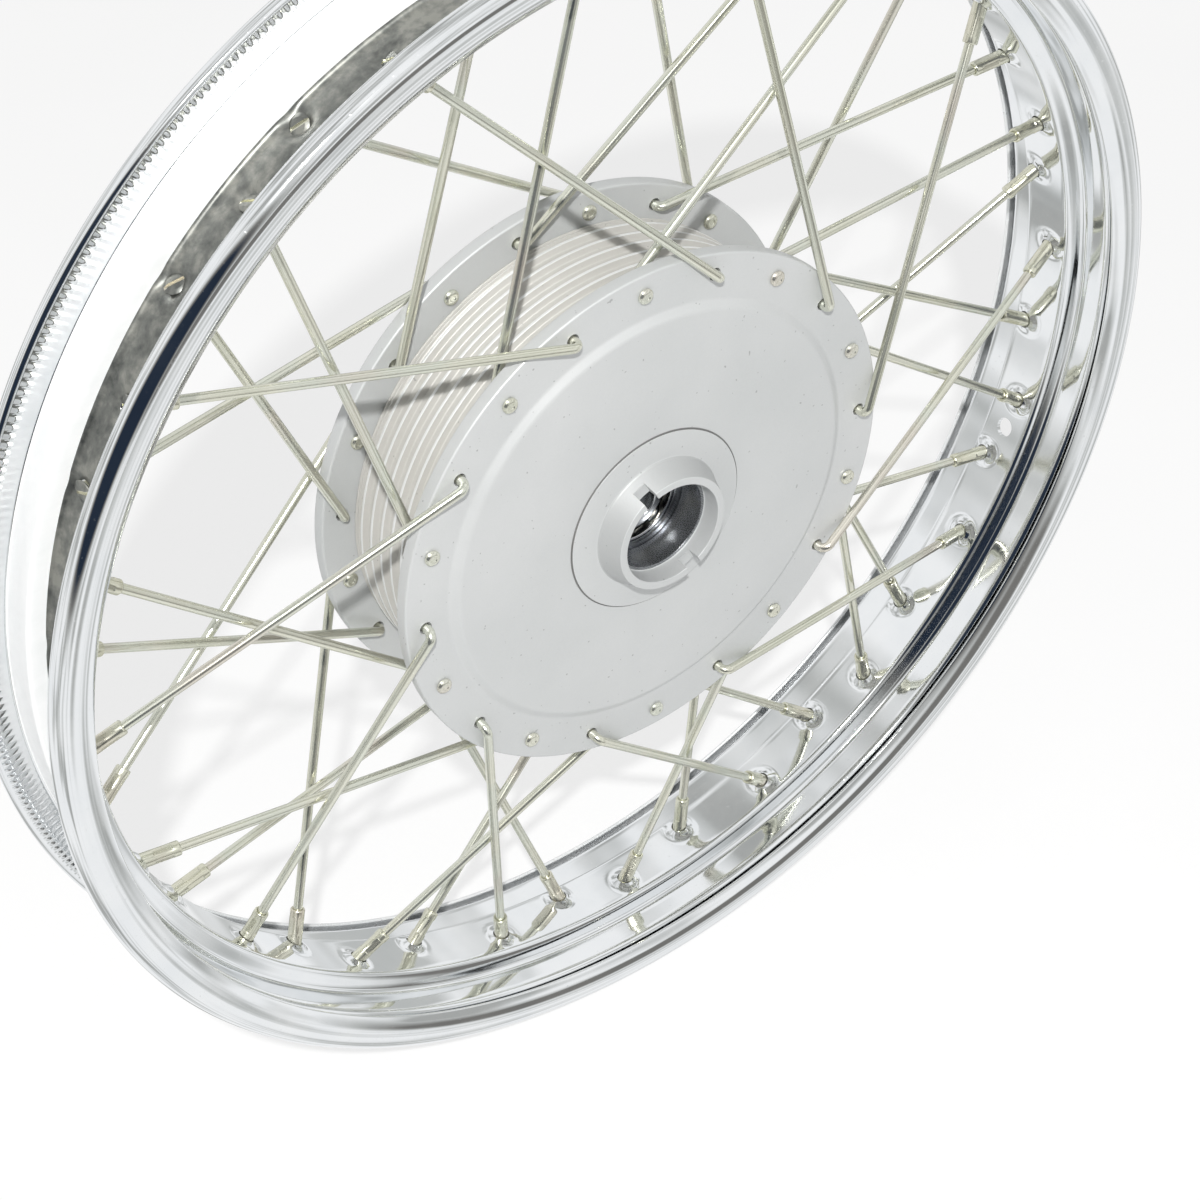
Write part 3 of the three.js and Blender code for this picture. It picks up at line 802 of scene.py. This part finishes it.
def build_rim():
    def nudge(point, segment, angle):
        radius, axial = knurl(point, segment)
        return radius - punched(point, angle), axial

    made = turned("rim_shell", rim_outline(), TEETH * len(TOOTH_SHAPE),
                  [CHROME, DULL_AND_SHADED, SATIN, SKIRT_CHROME], rim_finish, nudge)
    valve_angle = FIRST_ANGLE + RIM_TURN + VALVE_PLACE * 360 / SPOKES
    outward = (polar(1, valve_angle, 0) - polar(0, valve_angle, 0)).normalized()
    cutters = [cone(polar(WELL_RADIUS - 16, valve_angle, WELL_CENTRE), outward, 32,
                    VALVE_RADIUS, VALVE_RADIUS, 32)]
    for entry in PLAN:
        start = entry["seat"] - entry["along"] * (9 * MM)
        cutters.append(cone(start, entry["along"], 17, NIPPLE_HOLE, NIPPLE_HOLE))
    subtract(made, joined("rim_holes", cutters))
    return finish_piece(made, "wheel", "chrome_rim", "rim")


# ---------------------------------------------------------------- hub


def rib_outline():
    """The barrel from the near flange to the far one: narrow ribs, then two fine beads."""
    low = -FLANGE_FACE + FLANGE_THICKNESS
    floor = BARREL_RADIUS - RIB_DEPTH
    bead_room = 3.6
    pitch = (-2 * low - bead_room) / RIBS
    corners = [(floor, low, 1.5)]
    for i in range(RIBS):
        middle = low + (i + 0.62) * pitch
        corners += [
            (floor + 0.1, middle - 1.5, 0.6), (BARREL_RADIUS, middle - 0.55, 0.3),
            (BARREL_RADIUS, middle + 0.55, 0.3), (floor + 0.1, middle + 1.5, 0.6)]
    for i in range(2):
        middle = -low - bead_room + 0.8 + i * 1.7
        corners += [
            (floor + 0.9, middle - 0.7, 0.2), (floor + 1.9, middle - 0.25, 0.2),
            (floor + 1.9, middle + 0.25, 0.2), (floor + 0.9, middle + 0.7, 0.2)]
    corners.append((floor + 0.9, -low, 0.3))
    return corners


def pocket(face, inwards):
    """A bearing's seat from its mouth, with the groove for its retaining ring."""
    outer = face - inwards * (GROOVE_WIDTH + GROOVE_STAND_OFF)
    shoulder = face + inwards * (BEARING_WIDTH + SEAT_SLACK)
    bottom = outer + inwards * GROOVE_WIDTH
    return [
        (BEARING_SEAT, outer, 0.15), (BEARING_SEAT + GROOVE_DEPTH, outer, 0),
        (BEARING_SEAT + GROOVE_DEPTH, bottom, 0), (BEARING_SEAT, bottom, 0.15),
        (BEARING_SEAT, shoulder, 0), (SHOULDER_RADIUS, shoulder, 0.5)]


def hub_outline():
    face = FLANGE_FACE
    back = face - FLANGE_THICKNESS
    closed_side = [
        (COUNTER_BORE, -MOUTH_FACE, 0.35), (MOUTH_RADIUS, -MOUTH_FACE, 0.35), (28.2, -35.7, 1.3),
        (39.2, -34.8, 0.15), (39.25, -33.9, 0.1), (39.75, -33.9, 0.1), (39.8, -34.3, 0.15),
        (89.4, -33.65, 4.0), (93.0, -face, 3.0), (FLANGE_RADIUS, -face, 0.9),
        (FLANGE_RADIUS, -back, 0.9)]
    open_side = [
        (FLANGE_RADIUS, back, 0.9), (FLANGE_RADIUS, face, 0.9), (DRUM_RADIUS, face, 0.4),
        (DRUM_RADIUS, DRUM_FLOOR, 0.8), (CAVITY_RADIUS, DRUM_FLOOR, 0.8),
        (CAVITY_RADIUS, WEB_INSIDE, 6.0), (TUBE_RADIUS, WEB_INSIDE, 6.0),
        (TUBE_RADIUS, TUBE_END, 0.8), (BEARING_SEAT, TUBE_END, 0.5)]
    bores = [*pocket(FAR_BEARING, -1), *reversed(pocket(NEAR_BEARING, 1)),
             (BEARING_SEAT, COUNTER_BORE_END, 0.25), (COUNTER_BORE, COUNTER_BORE_END, 0.3)]
    return rounded(closed_side + rib_outline() + open_side + bores, True, 16)


def hub_finish(first, second):
    """The finish of a stretch of the hub's outline: most of it is as cast."""
    radius = (first.x + second.x) / 2
    axial = (first.y + second.y) / 2
    # The bores take the darker alloy, painted shade inside them.
    if radius < COUNTER_BORE - 0.3:
        return SHADED_MACHINED
    # The boss's side is painted darker: painted shade.
    if axial < -35.9 and radius > MOUTH_RADIUS + 0.1:
        return BOSS_SHADE_ALLOY
    # The collar's groove is painted dark: painted shade.
    if 39.2 < radius < 39.8 and -34.5 < axial < -33.7:
        return GROOVE_SHADE_ALLOY
    if abs(axial) < FLANGE_FACE - FLANGE_THICKNESS and DRUM_RADIUS + 0.5 < radius:
        # Crests are painted lighter than the barrel between them: a painted highlight.
        return CREST_HIGHLIGHT_ALLOY if radius > BARREL_RADIUS - 0.35 else BARREL_ALLOY
    return ALLOY


def build_hub():
    made = turned("hub_casting", hub_outline(), 320,
                  [ALLOY, SHADED_MACHINED, BARREL_ALLOY, CREST_HIGHLIGHT_ALLOY, BOSS_SHADE_ALLOY, GROOVE_SHADE_ALLOY],
                  hub_finish)
    cutters = []
    for entry in PLAN:
        side = entry["side"]
        inward = Vector((0, -side, 0))
        outside = polar(HOLE_CIRCLE, entry["hole"], side * (FLANGE_FACE + 2))
        cutters.append(cone(outside, inward, 10.6, HOLE_RADIUS, HOLE_RADIUS, 20))
    subtract(made, joined("flange_holes", cutters))
    turn = Matrix.Rotation(-math.radians(SLOT_ANGLE), 4, "Y")
    mouth = Matrix.Translation((0, (MID - MOUTH_FACE) * MM, 0))
    subtract(made, block(mouth @ turn, 80, 2 * SLOT_DEPTH, SLOT_WIDTH))
    return finish_piece(made, "wheel", "cast_alloy", "hub_shell")


def build_brake_ring():
    outline = rounded([
        (BRAKE_BORE, DRUM_FLOOR + GAP, 0.6), (DRUM_RADIUS - GAP, DRUM_FLOOR + GAP, 0.6),
        (DRUM_RADIUS - GAP, FLANGE_FACE, 0.3), (BRAKE_BORE + 1, FLANGE_FACE, 0.3),
        (BRAKE_BORE, FLANGE_FACE - 1.05, 0.3)], True)
    made = turned("brake_ring_liner", outline, 320, [IRON])
    return finish_piece(made, "wheel", "cast_iron", "brake_ring")


# ---------------------------------------------------------------- bearings


def build_races(name, low):
    """An outer race and an inner race with their ball grooves, either side of the balls."""
    middle = low + BEARING_WIDTH / 2
    high = low + BEARING_WIDTH
    groove = BALL_RADIUS + 0.15
    for kind, plain, land, sign, body in (
            ("outer", 20.0, 16.6, 1, "wheel"), ("inner", BEARING_BORE, 11.9, -1, "axle_core")):
        reach = abs(land - PITCH_RADIUS)
        half = math.degrees(math.acos(min(1, reach / groove)))
        arc = []
        for k in range(9):
            angle = math.radians(-half + 2 * half * k / 8)
            arc.append((PITCH_RADIUS + sign * groove * math.cos(angle),
                        middle + groove * math.sin(angle), 0))
        outline = rounded([
            (plain, low, 0.6), (land, low, 0.3), *arc, (land, high, 0.3),
            (plain, high, 0.6)], True, 25)
        made = turned(f"{name}_{kind}_race_ring", outline, 144, [RACE_STEEL])
        finish_piece(made, body, "bearing_steel", f"{name}_bearing_{kind}_race")


def ribbon(middle, side):
    """One half of a pressed cage: it follows the balls, and lies flat between them."""
    steps = 168
    thickness = 0.6
    outline = [(13.1, 0), (15.4, 0), (15.4, thickness), (13.1, thickness)]
    spots = []
    for s in range(steps):
        angle = 2 * math.pi * s / steps
        away = (math.degrees(angle) * BALLS / 360 + 0.5) % 1 - 0.5
        chord = away * 2 * math.pi * PITCH_RADIUS / BALLS
        swell = math.sqrt(max(0, (BALL_RADIUS + 0.2) ** 2 - chord ** 2))
        for radius, lift in outline:
            axial = middle + side * (max(swell, 0.02) + lift)
            spots.append(polar(radius, math.degrees(angle), axial))
    mesh = bpy.data.meshes.new("ribbon")
    mesh.from_pydata(spots, [], band_faces(4, steps, True))
    return finished_mesh("ribbon", mesh, [CAGE_STEEL], 40)


def build_balls(name, low):
    """A riveted ribbon cage, and the balls it holds."""
    middle = low + BEARING_WIDTH / 2
    halves = [ribbon(middle, -1), ribbon(middle, 1)]
    for k in range(BALLS):
        start = polar(PITCH_RADIUS, (k + 0.5) * 360 / BALLS, middle - 1.1)
        halves.append(cone(start, Vector((0, 1, 0)), 2.2, 0.7, 0.7, 16))
    cage = joined(f"{name}_ribbon_cage", halves)
    cage.data.materials.clear()
    cage.data.materials.append(CAGE_STEEL)
    finish_piece(cage, f"{name}_cage", "cage_steel", f"{name}_ball_cage")
    set_of_balls = bmesh.new()
    for k in range(BALLS):
        place = Matrix.Translation(polar(PITCH_RADIUS, k * 360 / BALLS, middle))
        bmesh.ops.create_icosphere(set_of_balls, subdivisions=4, radius=BALL_RADIUS * MM,
                                   matrix=place)
    mesh = bpy.data.meshes.new(f"{name}_balls")
    set_of_balls.to_mesh(mesh)
    set_of_balls.free()
    balls = finished_mesh(f"{name}_balls", mesh, [RACE_STEEL], 180)
    finish_piece(balls, f"{name}_cage", "bearing_steel")


def build_retainer(name, low):
    """A sprung ring with two eyed lugs, lying across the mouth of the bearing's pocket."""
    gap_middle, gap_half = 80, 18
    outer, inner = BEARING_SEAT + 0.6, BEARING_SEAT - 2.2
    high = low + RING_THICKNESS
    steps = 96
    spots = []
    for s in range(steps + 1):
        share = s / steps
        degrees = gap_middle + gap_half + share * (360 - 2 * gap_half)
        near_end = min(share, 1 - share) * (360 - 2 * gap_half)
        lug = max(0, 1 - near_end / 14)
        inside = inner - 2.4 * (3 * lug ** 2 - 2 * lug ** 3)
        for radius, axial in ((inside, low), (outer, low), (outer, high), (inside, high)):
            spots.append(polar(radius, degrees, axial))
    faces = band_faces(4, steps + 1, False)
    last = steps * 4
    faces += [(0, 1, 2, 3), (last + 3, last + 2, last + 1, last)]
    mesh = bpy.data.meshes.new(f"{name}_snap_ring")
    mesh.from_pydata(spots, [], faces)
    made = finished_mesh(f"{name}_snap_ring", mesh, [SPRING_STEEL])
    eyes = []
    for sign in (-1, 1):
        start = polar(inner - 0.3, gap_middle + sign * (gap_half + 5), low - 1)
        eyes.append(cone(start, Vector((0, 1, 0)), 4, 0.8, 0.8, 16))
    subtract(made, joined("eyes", eyes))
    finish_piece(made, "wheel", "spring_steel", f"{name}_retaining_ring")


def build_bearings():
    for name, low, retainer_low in (
            ("near", NEAR_BEARING, NEAR_BEARING - GAP - RING_THICKNESS),
            ("far", FAR_BEARING - BEARING_WIDTH, FAR_BEARING + GAP)):
        build_races(name, low)
        build_balls(name, low)
        build_retainer(name, retainer_low)
    end_gap = 0.1
    low = NEAR_BEARING + BEARING_WIDTH + end_gap
    high = FAR_BEARING - BEARING_WIDTH - end_gap
    outline = rounded([
        (BEARING_BORE, low, 0.4), (SPACER_RADIUS, low, 0.4),
        (SPACER_RADIUS, high, 0.4), (BEARING_BORE, high, 0.4)], True)
    made = turned("spacer_sleeve", outline, 96, [RACE_STEEL])
    finish_piece(made, "axle_core", "bearing_steel", "spacer_tube")


# ---------------------------------------------------------------- studio


FLOOR_GLOW = 0.72      # a lit floor, so that the wheel's shadows on it stay faint
ROOM_LIGHT = 0.42      # the room's share of the light on unpolished surfaces


def build_floor():
    made, tree, surface = material("pale_floor")
    shade = noise(tree, add(tree, "ShaderNodeTexCoord").outputs["Object"], 3, 3)
    color = ramp(tree, shade, (0.3, (0.25, 0.25, 0.25)), (0.7, (0.27, 0.27, 0.27)))
    connect(tree, surface, Base_Color=color, Roughness=0.9)
    surface.inputs["Emission Color"].default_value = (1, 1, 1, 1)
    surface.inputs["Emission Strength"].default_value = FLOOR_GLOW
    surface.inputs["Specular IOR Level"].default_value = 0.1
    work = bmesh.new()
    bmesh.ops.create_grid(work, x_segments=8, y_segments=8, size=9)
    mesh = bpy.data.meshes.new("floor")
    work.to_mesh(mesh)
    work.free()
    mesh.materials.append(made)
    floor = bpy.data.objects.new("floor", mesh)
    floor.location.z = CAD_BOX[0].z - 0.002
    floor.visible_glossy = False
    bpy.context.scene.collection.objects.link(floor)


def dark_card(tree, direction, towards, half_across, half_high, across):
    """1 inside a soft oval of the room round a direction, 0 outside it."""
    centre = Vector(towards).normalized()
    right = centre.cross(Vector((0, 0, 1))).normalized()
    up = Quaternion(centre, math.radians(across)) @ right.cross(centre)
    right = up.cross(centre) * -1

    def along(axis, size):
        reach = add(tree, "ShaderNodeVectorMath", {0: direction, 1: tuple(axis)},
                    operation="DOT_PRODUCT").outputs["Value"]
        return math_node(tree, "POWER", math_node(
            tree, "ABSOLUTE", math_node(tree, "DIVIDE", reach, math.sin(math.radians(size)))), 2)

    oval = math_node(tree, "ADD", along(right, half_across), along(up, half_high))
    front = add(tree, "ShaderNodeVectorMath", {0: direction, 1: tuple(centre)},
                operation="DOT_PRODUCT").outputs["Value"]
    inside = spread(tree, oval, 0.55, 1.25, 1, 0)
    return math_node(tree, "MULTIPLY", inside, math_node(tree, "GREATER_THAN", front, 0))


def build_world():
    """Plain white all round; polished metal also sees the darker room beside the camera."""
    world = bpy.data.worlds.new("studio")
    world.use_nodes = True
    tree = world.node_tree
    tree.nodes.clear()
    direction = add(tree, "ShaderNodeTexCoord").outputs["Generated"]
    viewer_side = dark_card(tree, direction, (-0.72, -0.68, 0.12), 48, 29, -20)
    doorway = dark_card(tree, direction, (0.30, -0.92, -0.27), 30, 11, 0)
    far_wall = dark_card(tree, direction, (0.75, 0.60, 0.10), 16, 9, 0)
    shade = math_node(tree, "MAXIMUM", viewer_side, math_node(
        tree, "MAXIMUM", math_node(tree, "MULTIPLY", doorway, 0.7),
        math_node(tree, "MULTIPLY", far_wall, 0.4)))
    uneven = spread(tree, noise(tree, direction, 3.4, 2), 0.46, 0.64, 0, 0.5)
    shade = math_node(tree, "MAXIMUM", shade, uneven)
    room = ramp(tree, shade, (0.0, (0.97, 0.975, 0.98)), (0.4, (0.56, 0.57, 0.56)),
                (0.7, (0.20, 0.195, 0.185)), (1.0, (0.02, 0.03, 0.05)))
    rays = add(tree, "ShaderNodeLightPath").outputs
    dim = (ROOM_LIGHT, ROOM_LIGHT, ROOM_LIGHT, 1)
    seen = add(tree, "ShaderNodeMix", {
        "Factor": rays["Is Glossy Ray"], 6: dim, 7: room}, data_type="RGBA").outputs[2]
    light = add(tree, "ShaderNodeBackground", {"Color": seen, "Strength": 1.0})
    bright = add(tree, "ShaderNodeBackground", {"Color": (1, 1, 1, 1), "Strength": 1.0})
    both = add(tree, "ShaderNodeMixShader", {
        0: rays["Is Camera Ray"], 1: light.outputs[0], 2: bright.outputs[0]})
    out = add(tree, "ShaderNodeOutputWorld", {"Surface": both.outputs[0]})
    out.is_active_output = True
    bpy.context.scene.world = world


CAMERA_AZIMUTH = -36.3
CAMERA_ELEVATION = 40.92
CAMERA_DISTANCE = 1134.4
CAMERA_LENS = 88.3
LAMP_ABOVE_CAMERA = 6     # degrees
LAMP_DISTANCE = 2300
AIM = Vector((-23.9, MID - FLANGE_FACE, -31.0))


def towards_viewer(azimuth, elevation):
    """The direction from the wheel to a viewer at these angles, in degrees."""
    across, rise = math.radians(azimuth), math.radians(elevation)
    return Vector((math.sin(across) * math.cos(rise), -math.cos(across) * math.cos(rise),
                   math.sin(rise)))


def build_key_light():
    """A small lamp just above the camera: it draws the spokes' shadows on the hub."""
    back = towards_viewer(CAMERA_AZIMUTH, CAMERA_ELEVATION + LAMP_ABOVE_CAMERA)
    lamp = bpy.data.lights.new("key", "AREA")
    lamp.shape = "DISK"
    lamp.size = 0.07
    lamp.energy = 52
    lamp.color = (1.0, 0.995, 0.985)
    made = bpy.data.objects.new("key", lamp)
    made.location = (AIM + back * LAMP_DISTANCE) * MM
    made.rotation_mode = "QUATERNION"
    made.rotation_quaternion = (-back).to_track_quat("-Z", "Y")
    bpy.context.scene.collection.objects.link(made)


def build_camera():
    back = towards_viewer(CAMERA_AZIMUTH, CAMERA_ELEVATION)
    lens = bpy.data.cameras.new("camera")
    lens.sensor_width = 36
    lens.lens = CAMERA_LENS
    lens.clip_start = 0.05
    made = bpy.data.objects.new("camera", lens)
    made.location = (AIM + back * CAMERA_DISTANCE) * MM
    made.rotation_mode = "QUATERNION"
    made.rotation_quaternion = (-back).to_track_quat("-Z", "Y")
    bpy.context.scene.collection.objects.link(made)
    bpy.context.scene.camera = made


# ---------------------------------------------------------------- all together

build_rim()
build_hub()
build_brake_ring()
lace()
build_bearings()
build_floor()
build_world()
build_key_light()
build_camera()
bpy.context.scene.view_settings.view_transform = "Standard"

bpy.context.view_layer.update()
